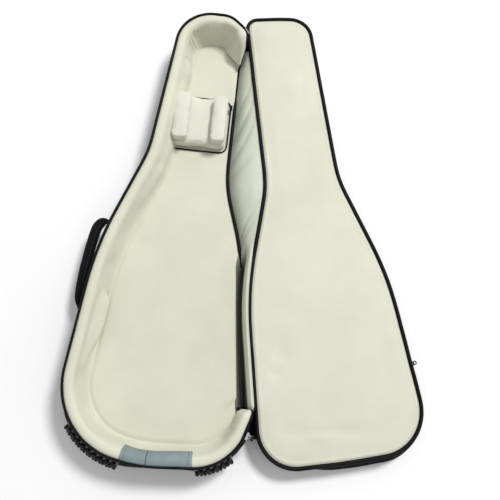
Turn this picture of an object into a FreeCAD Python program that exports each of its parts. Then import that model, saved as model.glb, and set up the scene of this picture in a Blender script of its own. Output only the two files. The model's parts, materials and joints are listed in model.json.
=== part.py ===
import math
import os

import FreeCAD
import Part
from FreeCAD import Vector

os.makedirs("parts", exist_ok=True)

# Padded guitar gig bag, laid open like a book. Millimetres, +Z up, +Y towards the neck end.
# The tray lies on the -X side, the lid on the +X side, and the fabric hinge runs along Y at X = 0.

# heights
FLOOR_FOAM_Z = (3.0, 15.0)      # padding under the floor lining
FLOOR_TOP = 18.0                # top of the floor lining
RIM_Z = 84.0                    # centre of the piping on the tray's rim
LID_PIPING_Z = 47.0             # centre of the piping on the lid's edge
LID_TOP = 50.0                  # face of the lid's lining
POCKET_TOP = 24.8               # top of what lies in the accessory pocket

# walls
FABRIC = 2.0                    # outer fabric and lining
WALL_FOAM = 12.0                # padding inside the tray's wall
WALL = 2 * FABRIC + WALL_FOAM
PIPE_R = 2.75                   # tray piping
LID_PIPE_R = 3.0                # lid piping

# fabric hinge: the part of the tray's side with no padded wall
OPEN_Y = (-392.0, 423.0)
OPEN_X = (-75.0, 60.0)

# tray outline: corner x, corner y, corner radius, clockwise from the bottom left
TRAY = [
    (-381.0, -441.8, 150.0),
    (-308.4, -64.7, 700.0),
    (-207.9, 149.2, 247.0),
    (-138.5, 500.0, 80.0),
    (3.5, 487.0, 50.0),
    (-35.5, 100.0, 150.0),
    (-4.0, -75.0, 300.0),
    (-4.0, -443.0, 38.0),
    (-46.0, -502.3, 108.0),
    (-206.2, -494.2, 300.0),
]

# lid outline, anticlockwise from the bottom centre, across and up from it; then its place and lean
LID_RING = [
    (0.0, 0.0, 1500.0),
    (176.1, 4.7, 94.0),
    (151.5, 364.7, 688.0),
    (80.5, 596.4, 263.0),
    (76.2, 1010.0, 51.0),
    (0.0, 1018.0, 400.0),
    (-73.0, 1021.5, 24.0),
    (-83.6, 596.4, 263.0),
    (-154.9, 364.7, 688.0),
    (-176.1, 4.7, 78.0),
]
LID_FOOT = (202.7, -499.7)
LID_LEAN = 6.8

# neck cradle
CRADLE_AT = (-96.0, 243.0)
CRADLE_LEAN = -6.0
CRADLE_U = (-66.5, 60.5)
CRADLE_V = (-64.0, 64.0)
CRADLE_Z = (FLOOR_TOP + 0.2, 44.0)
BLOCK_Z = (44.2, 70.0)
BLOCK_LEFT_U = (-63.5, -26.0)
BLOCK_RIGHT_U = (23.0, 58.0)
BLOCK_V = (-59.0, 58.0)

# carry handle on the tray's side: ends on the wall, and its bow measured along and off the wall
HANDLE_Y = (-202.0, -7.0)
HANDLE_Z = 50.0
GRIP_THICK = 18.0
GRIP_TALL = 26.0
STRAP = (2.5, 20.0)

# studded rubber bumpers
BUMPER_Z = (22.0, 67.0)
BUMPER_BASE = 6.0
STUD_R = (4.3, 1.4)
STUD_H = 9.0
STUD_PITCH = 10.2

# zips
ZIP_Z = (70.0, 78.0)
LID_ZIP_Z = (33.5, 41.5)
POCKET_ZIP_Z = (9.0, 17.0)
POCKET_ZIP_Y = (-330.0, -190.0)


def turned(p, lean, at):
    a = math.radians(lean)
    x = p[0] * math.cos(a) - p[1] * math.sin(a)
    y = p[0] * math.sin(a) + p[1] * math.cos(a)
    return (at[0] + x, at[1] + y)


def heading(a, b):
    return math.atan2(b[1] - a[1], b[0] - a[0])


def turn_at(points, i):
    a, b, c = points[i - 1], points[i], points[(i + 1) % len(points)]
    t = heading(b, c) - heading(a, b)
    return (t + math.pi) % (2 * math.pi) - math.pi


def inset(points, d):
    """The same clockwise outline moved inwards by d, or outwards if d is negative."""
    n = len(points)
    out = []
    for i in range(n):
        a, b, c = points[i - 1], points[i], points[(i + 1) % n]
        h0, h1 = heading(a, b), heading(b, c)
        turn = turn_at(points, i)
        bisect = (h0 + turn / 2) - math.pi / 2
        reach = d / math.cos(turn / 2)
        radius = b[2] - d if turn < 0 else b[2] + d
        out.append((b[0] + reach * math.cos(bisect), b[1] + reach * math.sin(bisect), radius))
    return out


def corner(points, i):
    """Start, middle, end and centre of the arc that rounds corner i."""
    a, b, c = points[i - 1], points[i], points[(i + 1) % len(points)]
    turn = turn_at(points, i)
    h0, h1 = heading(a, b), heading(b, c)
    cut = b[2] * math.tan(abs(turn) / 2)
    start = (b[0] - cut * math.cos(h0), b[1] - cut * math.sin(h0))
    end = (b[0] + cut * math.cos(h1), b[1] + cut * math.sin(h1))
    side = math.copysign(math.pi / 2, turn)
    centre = (start[0] + b[2] * math.cos(h0 + side), start[1] + b[2] * math.sin(h0 + side))
    mid_way = h0 + turn / 2 - side
    middle = (centre[0] + b[2] * math.cos(mid_way), centre[1] + b[2] * math.sin(mid_way))
    return start, middle, end, centre


def wire(points, z):
    edges = []
    n = len(points)
    arcs = [corner(points, i) for i in range(n)]
    for i in range(n):
        start, middle, end, _ = arcs[i]
        p, q, r = (Vector(s[0], s[1], z) for s in (start, middle, end))
        edges.append(Part.Arc(p, q, r).toShape())
        after = Vector(arcs[(i + 1) % n][0][0], arcs[(i + 1) % n][0][1], z)
        if (after - r).Length > 1e-4:
            edges.append(Part.LineSegment(r, after).toShape())
    return Part.Wire(edges)


def slab(points, z0, z1):
    return Part.Face(wire(points, z0)).extrude(Vector(0, 0, z1 - z0))


def band(points, outer, inner, z0, z1):
    return slab(inset(points, outer), z0, z1).cut(slab(inset(points, inner), z0, z1))


def sweep(path, profile):
    pipe = path.makePipeShell([profile], True, False)
    return Part.Solid(pipe) if pipe.ShapeType == "Shell" else pipe


def tube(points, d, z, r):
    path = wire(inset(points, d), z)
    first = path.Edges[0]
    at = first.valueAt(first.FirstParameter)
    along = first.tangentAt(first.FirstParameter)
    return sweep(path, Part.Wire(Part.Circle(at, along, r).toShape()))


def block(x, y, z):
    return Part.makeBox(x[1] - x[0], y[1] - y[0], z[1] - z[0], Vector(x[0], y[0], z[0]))


def edge_x(points, y, right):
    """Where the outline crosses the given Y, on its right or left side."""
    path = wire(points, 0.0)
    line = Part.LineSegment(Vector(-600, y, 0), Vector(600, y, 0)).toShape()
    hits = [v.Point.x for v in path.section(line).Vertexes]
    return max(hits) if right else min(hits)


def rounded_box(u, v, z, r, at, lean):
    ring = [(u[0], v[0]), (u[0], v[1]), (u[1], v[1]), (u[1], v[0])]
    return slab([turned(p, lean, at) + (r,) for p in ring], z[0], z[1])


def save(name, shape):
    solids = shape.Solids
    if len(solids) == 1:
        shape = solids[0]
    shape = shape.removeSplitter()
    shape.exportStep("parts/" + name + ".step")


LID = [turned((u, v), LID_LEAN, LID_FOOT) + (r,) for u, v, r in reversed(LID_RING)]
open_side = block(OPEN_X, OPEN_Y, (FLOOR_FOAM_Z[1] + 0.1, 120.0))


def walled(shape):
    """The tray's upright pieces stop at both ends of the fabric hinge."""
    return shape.cut(open_side)


# ---- tray ----
save("tray_back_panel", slab(inset(TRAY, 3.0), 0.0, FLOOR_FOAM_Z[0]))
save("tray_floor_foam", slab(inset(TRAY, 3.0), *FLOOR_FOAM_Z))
floor_main = slab(inset(TRAY, WALL + 0.2), FLOOR_FOAM_Z[1], FLOOR_TOP)
floor_side = slab(inset(TRAY, 5.6), FLOOR_FOAM_Z[1], FLOOR_TOP).common(
    block(OPEN_X, OPEN_Y, (0.0, 60.0))
)
save("tray_floor_lining", floor_main.fuse(floor_side))
save("tray_side_gusset", walled(band(TRAY, 0.0, FABRIC, 6.0, 80.8)))
save(
    "tray_wall_foam",
    walled(band(TRAY, FABRIC + 0.1, FABRIC + WALL_FOAM - 0.1, FLOOR_FOAM_Z[1] + 0.2, 81.0)),
)
lining_face = band(TRAY, WALL - FABRIC, WALL, FLOOR_FOAM_Z[1] + 0.2, RIM_Z + 1.0)
lining_cap = band(TRAY, 3.0, WALL, RIM_Z - 1.0, RIM_Z + 1.0)
save("tray_wall_lining", walled(lining_face.fuse(lining_cap)))
save("tray_rim_piping", walled(tube(TRAY, 0.0, RIM_Z, PIPE_R)))
save("tray_base_piping", tube(TRAY, 0.0, PIPE_R + 0.1, PIPE_R))
seam = tube(TRAY, 2.5, FLOOR_TOP + 0.4, 2.7).common(block(OPEN_X, OPEN_Y, (10.0, 40.0)))
save("hinge_seam_piping", seam)
save("tray_zip_tape", walled(band(TRAY, -1.1, -0.1, *ZIP_Z)))
save("tray_zip_coil", walled(band(TRAY, -2.7, -1.2, ZIP_Z[0] + 3.0, ZIP_Z[1] - 1.6)))

# ---- fabric hinge: a full-length wall of two layers from the tray's floor seam to the lid's edge ----
HINGE_STEPS = 15


def hinge_section(y, near, far):
    """One cross-section of a layer; near and far are its faces' distances above the middle line."""
    x0 = edge_x(TRAY, y, True) + 2.6
    x1 = edge_x(LID, y, False) - 5.2
    z0, z1 = FLOOR_TOP + 1.8, LID_PIPING_Z - 1.0
    dx, dz = x1 - x0, z1 - z0
    size = math.hypot(dx, dz)
    nx, nz = -dz / size, dx / size
    hump = 0.10 * max(dx, 0.0)
    middle = [(0.0, 0.0), (0.33, hump), (0.67, hump), (1.0, 0.0)]
    line = [(x0 + dx * t + nx * h, z0 + dz * t + nz * h) for t, h in middle]
    up = [Vector(x + nx * far, y, z + nz * far) for x, z in line]
    down = [Vector(x + nx * near, y, z + nz * near) for x, z in reversed(line)]
    ring = up + down
    return Part.makePolygon(ring + [ring[0]])


def hinge_layer(near, far):
    step = (OPEN_Y[1] - OPEN_Y[0] - 2.0) / (HINGE_STEPS - 1)
    rows = [OPEN_Y[0] + 1.0 + i * step for i in range(HINGE_STEPS)]
    return Part.makeLoft([hinge_section(y, near, far) for y in rows], True, True)


save("hinge_wall_lining", hinge_layer(0.2, 1.7))
save("hinge_wall_outer", hinge_layer(-1.7, -0.2))

# ---- tail patch over the padded wall at the bottom ----
patch_zone = block((-246.0, -102.0), (-560.0, -380.0), (40.0, 100.0))
patch = band(TRAY, WALL + 0.1, WALL + 1.2, 40.0, RIM_Z + 2.3)
patch = patch.fuse(band(TRAY, 3.0, WALL + 1.2, RIM_Z + 1.1, RIM_Z + 2.3))
save("tail_patch", patch.common(patch_zone))

# ---- studded bumpers round the bottom corners ----


def bumper(i, first, last):
    """Rubber strip round corner i, from the first to the last bearing in degrees, with its studs."""
    _, _, _, centre = corner(TRAY, i)
    radius = TRAY[i][2]
    base = Part.makeCylinder(
        radius + 0.2 + BUMPER_BASE,
        BUMPER_Z[1] - BUMPER_Z[0],
        Vector(centre[0], centre[1], BUMPER_Z[0]),
        Vector(0, 0, 1),
        last - first,
    )
    base.rotate(Vector(centre[0], centre[1], 0), Vector(0, 0, 1), first)
    core = Part.makeCylinder(
        radius + 0.2, 200.0, Vector(centre[0], centre[1], -20.0), Vector(0, 0, 1)
    )
    base = base.cut(core)
    reach = radius + BUMPER_BASE
    count = int(math.radians(last - first) * reach / STUD_PITCH)
    levels = int((BUMPER_Z[1] - BUMPER_Z[0]) / STUD_PITCH)
    gap = (BUMPER_Z[1] - BUMPER_Z[0]) / levels
    studs = []
    for k in range(count):
        a = math.radians(first + (k + 0.5) * (last - first) / count)
        out = Vector(math.cos(a), math.sin(a), 0)
        for level in range(levels):
            z = BUMPER_Z[0] + (level + 0.5) * gap
            foot = Vector(centre[0], centre[1], z) + out * (reach - 0.4)
            studs.append(Part.makeCone(STUD_R[0], STUD_R[1], STUD_H + 0.4, foot, out))
    return base.multiFuse(studs)


save("bumper_left", bumper(0, 209.0, 253.0))
save("bumper_right", bumper(8, 271.0, 314.0))

# ---- neck cradle ----
save("cradle_base", rounded_box(CRADLE_U, CRADLE_V, CRADLE_Z, 14.0, CRADLE_AT, CRADLE_LEAN))
save(
    "cradle_block_left",
    rounded_box(BLOCK_LEFT_U, BLOCK_V, BLOCK_Z, 11.0, CRADLE_AT, CRADLE_LEAN),
)
save(
    "cradle_block_right",
    rounded_box(BLOCK_RIGHT_U, BLOCK_V, BLOCK_Z, 11.0, CRADLE_AT, CRADLE_LEAN),
)
cradle_ring = [
    turned(p, CRADLE_LEAN, CRADLE_AT) + (14.0,)
    for p in (
        (CRADLE_U[0], CRADLE_V[0]),
        (CRADLE_U[0], CRADLE_V[1]),
        (CRADLE_U[1], CRADLE_V[1]),
        (CRADLE_U[1], CRADLE_V[0]),
    )
]
save("cradle_piping", tube(cradle_ring, -2.1, FLOOR_TOP + 3.4, 1.9))
tab = block((0.0, 6.0), (0.0, 13.0), (32.0, 33.6))
tab.rotate(Vector(0, 0, 0), Vector(0, 0, 1), CRADLE_LEAN)
tab_at = turned((CRADLE_U[1] + 0.1, 38.0), CRADLE_LEAN, CRADLE_AT)
tab.translate(Vector(tab_at[0], tab_at[1], 0))
save("cradle_tab", tab)

# ---- carry handle ----
wall_low = (edge_x(TRAY, HANDLE_Y[0], False), HANDLE_Y[0])
wall_high = (edge_x(TRAY, HANDLE_Y[1], False), HANDLE_Y[1])
chord = math.hypot(wall_high[0] - wall_low[0], wall_high[1] - wall_low[1])
ax, ay = (wall_high[0] - wall_low[0]) / chord, (wall_high[1] - wall_low[1]) / chord
ox, oy = -ay, ax
sag = 6.0                       # the wall bows out this much between the handle's ends


def at_handle(along, off, z):
    """A point along the handle's chord and off it, away from the wall."""
    off = off + sag
    return Vector(wall_low[0] + ax * along + ox * off, wall_low[1] + ay * along + oy * off, z)


def bow(points, z):
    """An open path in the handle's plane through (along, off, radius)."""
    edges = []
    last = at_handle(points[0][0], points[0][1], z)
    for i in range(1, len(points) - 1):
        b = at_handle(points[i][0], points[i][1], z)
        a = at_handle(points[i - 1][0], points[i - 1][1], z)
        c = at_handle(points[i + 1][0], points[i + 1][1], z)
        into, out = (b - a).normalize(), (c - b).normalize()
        turn = into.getAngle(out)
        cut = points[i][2] * math.tan(turn / 2)
        p, q = b - into * cut, b + out * cut
        inward = (out - into).normalize()
        middle = b + inward * (points[i][2] / math.cos(turn / 2) - points[i][2])
        if (p - last).Length > 1e-4:
            edges.append(Part.LineSegment(last, p).toShape())
        edges.append(Part.Arc(p, middle, q).toShape())
        last = q
    edges.append(Part.LineSegment(last, at_handle(points[-1][0], points[-1][1], z)).toShape())
    return Part.Wire(edges)


TAB_OFF = 9.0                   # how far off the wall the strap narrows to its sewn tabs
TAB = (3.2, 11.0, 2.4)          # each tab along the wall, off it and up
BOW = [(3.0, TAB_OFF), (6.0, 15.0, 8.0), (chord - 12.0, 29.0, 12.0), (chord - 8.0, TAB_OFF)]


def swept_flat(path, thick, tall):
    first = path.Edges[0]
    at = first.valueAt(first.FirstParameter)
    along = first.tangentAt(first.FirstParameter)
    side = along.cross(Vector(0, 0, 1)).normalize() * (thick / 2)
    up = Vector(0, 0, tall / 2)
    ring = [at + side + up, at - side + up, at - side - up, at + side - up]
    return sweep(path, Part.makePolygon(ring + [ring[0]]))


strap = swept_flat(bow(BOW, HANDLE_Z), *STRAP)
for along in (3.0, chord - 8.0):
    neck = Part.makeBox(*TAB, Vector(-TAB[0] / 2, 1.0 - TAB[1], -TAB[2] / 2))
    neck.rotate(Vector(0, 0, 0), Vector(0, 0, 1), math.degrees(math.atan2(oy, ox)) - 90.0)
    neck.translate(at_handle(along, TAB_OFF, HANDLE_Z))
    strap = strap.fuse(neck)
grip_path = bow([(9.0, 15.2), (chord / 2, 23.5, 900.0), (chord - 16.0, 28.7)], HANDLE_Z)
grip = swept_flat(grip_path, GRIP_THICK, GRIP_TALL)
upright = [e for e in grip.Edges if abs(e.tangentAt(e.FirstParameter).z) < 0.2 and e.Length > 60]
grip = grip.makeFillet(7.0, upright)
save("handle_strap", strap)
save("handle_grip", grip.cut(strap))
for name, along in (("handle_anchor_lower", 3.0), ("handle_anchor_upper", chord - 8.0)):
    y = at_handle(along, 0.0, 0.0).y
    x = edge_x(TRAY, y, False)
    x0, x1 = edge_x(TRAY, y - 15.0, False), edge_x(TRAY, y + 15.0, False)
    pad = Part.makeBox(2.2, 30.0, 36.0, Vector(-2.6, -15.0, -18.0))
    pad.rotate(Vector(0, 0, 0), Vector(0, 0, 1), -math.degrees(math.atan2(x1 - x0, 30.0)))
    pad.translate(Vector(x, y, HANDLE_Z))
    save(name, pad.cut(slab(inset(TRAY, -0.1), 0.0, 100.0)))

# ---- lid ----
save("pocket_panel", slab(inset(LID, 3.3), 0.0, 2.8))
save("pocket_padding", slab(inset(LID, 3.4), 3.0, POCKET_TOP))
save("lid_front_panel", slab(inset(LID, 2.2), 25.0, 27.8))
save("lid_foam", slab(inset(LID, 3.2), 28.0, LID_TOP - 3.0))
save("lid_lining", slab(inset(LID, 3.2), LID_TOP - 2.8, LID_TOP))
save("lid_gusset", band(LID, 0.0, FABRIC, 5.8, LID_PIPING_Z - LID_PIPE_R - 0.2))
save("lid_edge_piping", tube(LID, 0.0, LID_PIPING_Z, LID_PIPE_R))
save("lid_base_piping", tube(LID, 0.3, PIPE_R + 0.1, PIPE_R))
lid_open = block((-40.0, 75.0), OPEN_Y, (0.0, 100.0))
save("lid_zip_tape", band(LID, -1.1, -0.1, *LID_ZIP_Z).cut(lid_open))
save("lid_zip_coil", band(LID, -2.7, -1.2, LID_ZIP_Z[0] + 3.0, LID_ZIP_Z[1] - 1.6).cut(lid_open))
pocket_side = block((200.0, 500.0), POCKET_ZIP_Y, (0.0, 60.0))
save("pocket_zip_tape", band(LID, -1.1, -0.1, *POCKET_ZIP_Z).common(pocket_side))
pocket_coil = band(LID, -2.7, -1.2, POCKET_ZIP_Z[0] + 3.0, POCKET_ZIP_Z[1] - 1.6)
save("pocket_zip_coil", pocket_coil.common(pocket_side))

# ---- zip sliders and their pulls ----
SLIDER = (15.0, 5.0, 9.0)       # along the zip, off the wall, up
SLIDER_OFF = 3.1                # from the wall to the slider's body
PULL = (2.0, 8.0, 12.0, 23.0)   # thick, width at the slider, width at the tip, length
POCKET_PULL = (1.8, 7.0, 9.0, 16.0)
PULL_DROOP = 66.0               # how far a pull hangs below level, in degrees
PULL_GAP = 3.1                  # from the slider's body to the pull's root


def facing(shape, at, bearing, z):
    """Turn a shape drawn with +X pointing off the wall, and set it down on the wall."""
    shape.rotate(Vector(0, 0, 0), Vector(0, 0, 1), bearing)
    shape.translate(Vector(at[0], at[1], z))
    return shape


def slider_shape():
    along, off, up = SLIDER
    body = Part.makeBox(off, along, up, Vector(SLIDER_OFF, -along / 2, -up / 2))
    body = body.makeFillet(1.6, [e for e in body.Edges if e.BoundBox.XMin > SLIDER_OFF + off - 0.1])
    post = Part.makeBox(2.4, 2.0, 7.0, Vector(SLIDER_OFF + off - 0.4, -4.0, -3.5))
    bridge = post.copy()
    bridge.translate(Vector(0, 6.0, 0))
    return body.fuse(post).fuse(bridge)


def pull_shape(droop, size):
    """A teardrop pull with an eye, hinged at the slider's bridge and drooping by so many degrees."""
    thick, narrow, wide, length = size
    ring = [
        Vector(0, -narrow / 2, 0),
        Vector(length - wide / 2, -wide / 2, 0),
        Vector(length, 0, 0),
        Vector(length - wide / 2, wide / 2, 0),
        Vector(0, narrow / 2, 0),
    ]
    tip = Part.Arc(ring[1], ring[2], ring[3]).toShape()
    sides = [
        Part.LineSegment(ring[0], ring[1]).toShape(),
        tip,
        Part.LineSegment(ring[3], ring[4]).toShape(),
        Part.LineSegment(ring[4], ring[0]).toShape(),
    ]
    plate = Part.Face(Part.Wire(sides)).extrude(Vector(0, 0, thick))
    plate.translate(Vector(0, 0, -thick / 2))
    hole = Part.makeCylinder(2.6, 6.0, Vector(length - wide / 2, 0, -3), Vector(0, 0, 1))
    plate = plate.cut(hole)
    plate.rotate(Vector(0, 0, 0), Vector(0, 1, 0), droop)
    plate.translate(Vector(SLIDER_OFF + SLIDER[1] + PULL_GAP, 0, 0))
    return plate


def zip_set(name, i, bearing):
    _, _, _, centre = corner(TRAY, i)
    a = math.radians(bearing)
    at = (centre[0] + TRAY[i][2] * math.cos(a), centre[1] + TRAY[i][2] * math.sin(a))
    z = (ZIP_Z[0] + ZIP_Z[1]) / 2 + 0.7
    save("zip_slider_" + name, facing(slider_shape(), at, bearing, z))
    save("zip_pull_" + name, facing(pull_shape(PULL_DROOP, PULL), at, bearing, z))


zip_set("bottom", 8, -27.0)
zip_set("top", 4, 22.0)
py = POCKET_ZIP_Y[0] + 22.0
px0, px1 = edge_x(LID, py - 8.0, True), edge_x(LID, py + 8.0, True)
lean = -math.degrees(math.atan2(px1 - px0, 16.0))
pz = (POCKET_ZIP_Z[0] + POCKET_ZIP_Z[1]) / 2 + 0.7
save("pocket_slider", facing(slider_shape(), (edge_x(LID, py, True), py), lean, pz))
small = pull_shape(20.0, POCKET_PULL)
save("pocket_pull", facing(small, (edge_x(LID, py, True), py), lean, pz))
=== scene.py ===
import json
import math

import bmesh
import bpy
import numpy as np
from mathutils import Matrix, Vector, noise


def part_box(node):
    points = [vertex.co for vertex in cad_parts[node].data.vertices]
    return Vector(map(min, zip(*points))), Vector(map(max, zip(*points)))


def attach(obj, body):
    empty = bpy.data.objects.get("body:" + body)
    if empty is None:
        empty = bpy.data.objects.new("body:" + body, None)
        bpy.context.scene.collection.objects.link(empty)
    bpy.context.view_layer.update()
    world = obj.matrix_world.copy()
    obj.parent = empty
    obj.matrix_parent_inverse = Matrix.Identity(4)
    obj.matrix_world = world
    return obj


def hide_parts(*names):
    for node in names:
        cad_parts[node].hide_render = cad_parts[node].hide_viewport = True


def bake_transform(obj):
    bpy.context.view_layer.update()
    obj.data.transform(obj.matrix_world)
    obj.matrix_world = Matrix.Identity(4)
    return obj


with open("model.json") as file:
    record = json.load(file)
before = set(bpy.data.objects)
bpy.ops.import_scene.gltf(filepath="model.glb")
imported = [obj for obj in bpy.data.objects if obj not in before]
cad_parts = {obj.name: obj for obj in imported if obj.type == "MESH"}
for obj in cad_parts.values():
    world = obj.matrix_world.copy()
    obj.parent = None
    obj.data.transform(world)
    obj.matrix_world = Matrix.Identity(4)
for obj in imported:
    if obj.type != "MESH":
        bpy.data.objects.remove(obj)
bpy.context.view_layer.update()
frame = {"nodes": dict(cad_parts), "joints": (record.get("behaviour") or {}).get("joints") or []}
MM = 0.001
NODES = frame["nodes"]
UP = np.array([0.0, 0.0, 1.0])


# ---- shapes from the frame
def lowest_highest(node):
    low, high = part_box(node)
    return np.array(low), np.array(high)


def middle_z(node):
    return sum(lowest_highest(node))[2] / 2


def top_loop(node):
    """The ordered ring of points round the top edge of a flat CAD slab."""
    me = NODES[node].data
    co = np.array([v.co for v in me.vertices])
    top = co[:, 2].max()
    near = {}
    for face in me.polygons:
        if abs(face.normal.z) > 0.1:
            continue
        ids = list(face.vertices)
        for a, b in zip(ids, ids[1:] + ids[:1]):
            if co[a, 2] > top - 1e-5 and co[b, 2] > top - 1e-5:
                p = tuple(np.round(co[a, :2], 5))
                q = tuple(np.round(co[b, :2], 5))
                if p != q:
                    near.setdefault(p, set()).add(q)
                    near.setdefault(q, set()).add(p)
    start = min(near)
    ring, last = [start], None
    while True:
        onward = [q for q in near[ring[-1]] if q != last]
        last = ring[-1]
        if onward[0] == start or len(ring) > len(near):
            break
        ring.append(onward[0])
    ring = np.array(ring)
    area = np.sum(ring[:, 0] * np.roll(ring[:, 1], -1) - np.roll(ring[:, 0], -1) * ring[:, 1])
    return ring if area > 0 else ring[::-1]


def unit(vectors):
    return vectors / np.linalg.norm(vectors, axis=-1, keepdims=True)


def lengths(points):
    """Distance along a line of points, from its first point to each."""
    return np.r_[0, np.cumsum(np.linalg.norm(np.diff(points, axis=0), axis=1))]


def spots(at, s, points):
    """Points, or directions, at the distances `at` along a line whose points are at distances s."""
    return np.stack([np.interp(at, s, points[:, k]) for k in range(points.shape[1])], -1)


def at_height(xy, z):
    return np.column_stack([xy, np.full(len(xy), z)])


def resample(points, count, closed=True):
    ring = np.vstack([points, points[:1]]) if closed else points
    s = lengths(ring)
    return spots(np.linspace(0, s[-1], count, endpoint=not closed), s, ring), s[-1]


def soften(values, times, closed=True):
    for _ in range(times):
        if closed:
            values = (np.roll(values, 1, 0) + 2 * values + np.roll(values, -1, 0)) / 4
        else:
            inner = (values[:-2] + 2 * values[1:-1] + values[2:]) / 4
            values = np.concatenate([values[:1], inner, values[-1:]])
    return values


STEP = 4 * MM                  # between the points of an outline


class Outline:
    """A closed outline, anticlockwise, with outward normals; inset() gives it moved inwards."""

    def __init__(self, node, grow):
        ring = top_loop(node)
        length = resample(ring, 64)[1]
        self.count = int(length / STEP)
        self.p, _ = resample(ring, self.count)
        along = np.roll(self.p, -1, 0) - np.roll(self.p, 1, 0)
        self.n = np.stack([along[:, 1], -along[:, 0]], 1)
        self.n = unit(soften(unit(self.n), 6))
        self.p = self.p + self.n * grow
        self.length = length

    def inset(self, d):
        return self.p - self.n * d

    def x_at(self, y, side):
        """X where the outline crosses Y on its right (+1) or left (-1)."""
        ys = self.p[:, 1]
        nxt = np.roll(self.p, -1, 0)
        cross = (ys - y) * (nxt[:, 1] - y) <= 0
        xs = []
        for a, b in zip(self.p[cross], nxt[cross]):
            t = 0.5 if a[1] == b[1] else (y - a[1]) / (b[1] - a[1])
            xs.append(a[0] + t * (b[0] - a[0]))
        return max(xs) if side > 0 else min(xs)


TRAY = Outline("tray_back_panel", 3.0 * MM)
LID = Outline("lid_front_panel", 2.2 * MM)
FLOOR_Z = lowest_highest("tray_floor_lining")[1][2]
RIM_Z = middle_z("tray_rim_piping")
LID_Z = middle_z("lid_edge_piping")
FOOT_Z = 2.9 * MM              # the middle of the bindings round the feet of tray and lid
SEAM_LOW, SEAM_HIGH = lowest_highest("hinge_seam_piping")
OPEN_LOW, OPEN_HIGH = SEAM_LOW[1], SEAM_HIGH[1]
JOINTS = {joint["name"]: joint for joint in frame["joints"]}


def smooth_step(t):
    t = np.clip(t, 0, 1)
    return t * t * (3 - 2 * t)


def bump_at(values, centre, width):
    return np.exp(-(((values - centre) / width) ** 2))


def noise_at(points, scale, seed=0.0):
    shift = Vector((seed * 7.31, seed * 3.17, seed * 5.71))
    return np.array([noise.noise(Vector(p) / scale + shift) for p in points])


# ---- materials
class Finish:
    """A material in the making."""

    def __init__(self, name):
        self.mat = bpy.data.materials.new(name)
        self.mat.use_nodes = True
        self.nodes, self.links = self.mat.node_tree.nodes, self.mat.node_tree.links
        self.shader = self.nodes["Principled BSDF"]
        self.coords = self.nodes.new("ShaderNodeTexCoord")
        self.place = self.coords.outputs["Object"]

    def put(self, node, inputs):
        """Give each input its value, or link it to a socket."""
        for key, value in inputs.items():
            if isinstance(value, bpy.types.NodeSocket):
                self.links.new(value, node.inputs[key])
            else:
                node.inputs[key].default_value = value
        return node

    def add(self, kind, inputs, **settings):
        node = self.nodes.new("ShaderNode" + kind)
        for key, value in settings.items():
            setattr(node, key, value)
        return self.put(node, inputs)

    def noise(self, scale, detail=3.0, rough=0.5):
        inputs = {"Scale": scale, "Detail": detail, "Roughness": rough, "Vector": self.place}
        return self.add("TexNoise", inputs).outputs["Fac"]

    def math(self, kind, a, b):
        return self.add("Math", {0: a, 1: b}, operation=kind).outputs[0]

    def split(self, vector):
        return self.add("SeparateXYZ", {0: vector}).outputs

    def ramp(self, fac, low, high, dark, light):
        """Colour from dark to light as fac goes from low to high."""
        ramp = self.add("ValToRGB", {"Fac": fac})
        for element, place, colour in zip(ramp.color_ramp.elements, (low, high), (dark, light)):
            element.position = place
            element.color = (*colour, 1)
        return ramp.outputs["Color"]

    def rough(self, uneven, spread, middle):
        """Roughness that varies about a middle value."""
        centred = self.math("MULTIPLY", self.math("SUBTRACT", uneven, 0.5), spread)
        self.put(self.shader, {"Roughness": self.math("ADD", centred, middle)})

    def bumps(self, *layers):
        """Bump layers, each (height, strength, distance), one on top of another."""
        under = {}
        for height, strength, distance in layers:
            inputs = {"Strength": strength, "Distance": distance, "Height": height, **under}
            under = {"Normal": self.add("Bump", inputs).outputs["Normal"]}
        self.put(self.shader, under)

    def colour(self, socket):
        self.put(self.shader, {"Base Color": socket})

    def weave(self, vector, pitch):
        """Over-and-under threads: two crossing waves, checked against each other."""
        axes = self.split(vector)
        k = 2 * math.pi / pitch
        waves = [self.math("SINE", self.math("MULTIPLY", axes[a], k), 0.0) for a in (0, 1)]
        product = self.math("MULTIPLY", *waves)
        return self.math("ADD", product, self.math("MULTIPLY", self.math("ADD", *waves), 0.25))

    def painted_shade_low(self, colour, dark, z_low, z_high):
        """Painted shade: colour that darkens towards the bottom of a fold, standing in for the shadow
        that falls in the valley.
        """
        inputs = {"From Min": z_low, "From Max": z_high, "Value": self.split(self.place)[2]}
        height = self.add("MapRange", inputs, interpolation_type="SMOOTHSTEP").outputs["Result"]
        return self.add("Mix", {"Factor": height, 7: colour, 6: (*dark, 1)}, data_type="RGBA").outputs[2]


def cloth_material(name, dark, light, pitch, rough, sheen, weave=0.25, coords="UV", wear=0.0, spec=0.2,
                   low=None):
    """Woven cloth: threads, mottled colour, slightly uneven roughness and a soft nap."""
    fin = Finish(name)
    broad, fine = fin.noise(9.0, 4.0), fin.noise(420.0, 2.0)
    mottle = fin.math("ADD", fin.math("MULTIPLY", broad, 0.75), fin.math("MULTIPLY", fine, 0.25))
    colour = fin.ramp(mottle, 0.30, 0.70, dark, light)
    # low, when given, paints shade into the colour: darker towards the bottom of a fold.
    fin.colour(fin.painted_shade_low(colour, *low) if low else colour)
    fin.rough(fin.noise(60.0), 0.2, rough)
    fin.bumps((fin.weave(fin.coords.outputs[coords], pitch), weave, pitch * 0.35), (fine, 0.12, 0.0004),
              (fin.noise(28.0, 2.0), 0.10 + wear, 0.004))
    fin.put(fin.shader, {"Sheen Weight": sheen, "Sheen Roughness": 0.5, "Specular IOR Level": spec})
    return fin.mat


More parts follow.
